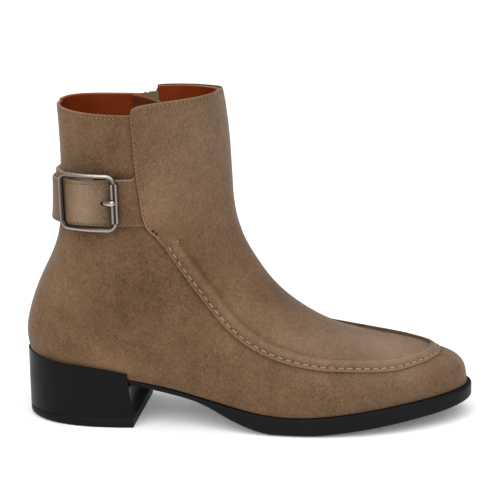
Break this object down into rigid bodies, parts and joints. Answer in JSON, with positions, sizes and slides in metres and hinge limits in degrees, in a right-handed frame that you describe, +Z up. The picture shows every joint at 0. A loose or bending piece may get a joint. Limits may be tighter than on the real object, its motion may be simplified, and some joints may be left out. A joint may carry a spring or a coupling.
{
  "type": "suede ankle boot",
  "caption": "Hollow suede ankle boot for the right foot with a raised apron front panel, buckled ankle belt, inner side zip, black sole and low block heel.",
  "frame": {"origin": "middle of the boot's footprint box, on the floor", "axes": "+X to the toe, +Y to the inner side of this right boot, +Z up"},
  "size_m": [0.2676, 0.0951, 0.1982],
  "materials": {
    "suede": "napped taupe suede",
    "sole_rubber": "black, half matt",
    "heel": "black, satin",
    "lining_leather": "smooth rust leather",
    "gunmetal": "polished gunmetal",
    "zip_metal": "dark zip metal"
  },
  "bodies": {
    "boot": {"upper": "suede", "front_panel": "suede", "belt_strap": "suede", "chape_band": "suede", "outsole": "sole_rubber", "heel_top_lift": "sole_rubber", "heel_block": "heel", "insole": "lining_leather", "buckle_frame": "gunmetal", "buckle_roller": "gunmetal", "buckle_prong": "gunmetal", "zip_chain": "zip_metal", "zip_slider": "zip_metal"},
    "zip_pull": {"zip_pull": "zip_metal"}
  },
  "joints": [
    {"name": "zip_pull_swing", "type": "hinge", "parent": "boot", "child": "zip_pull", "pos_m": [-0.0606, 0.0454, 0.1757], "axis": [1, -0.0027, 0], "range_deg": [0, 150]}
  ]
}
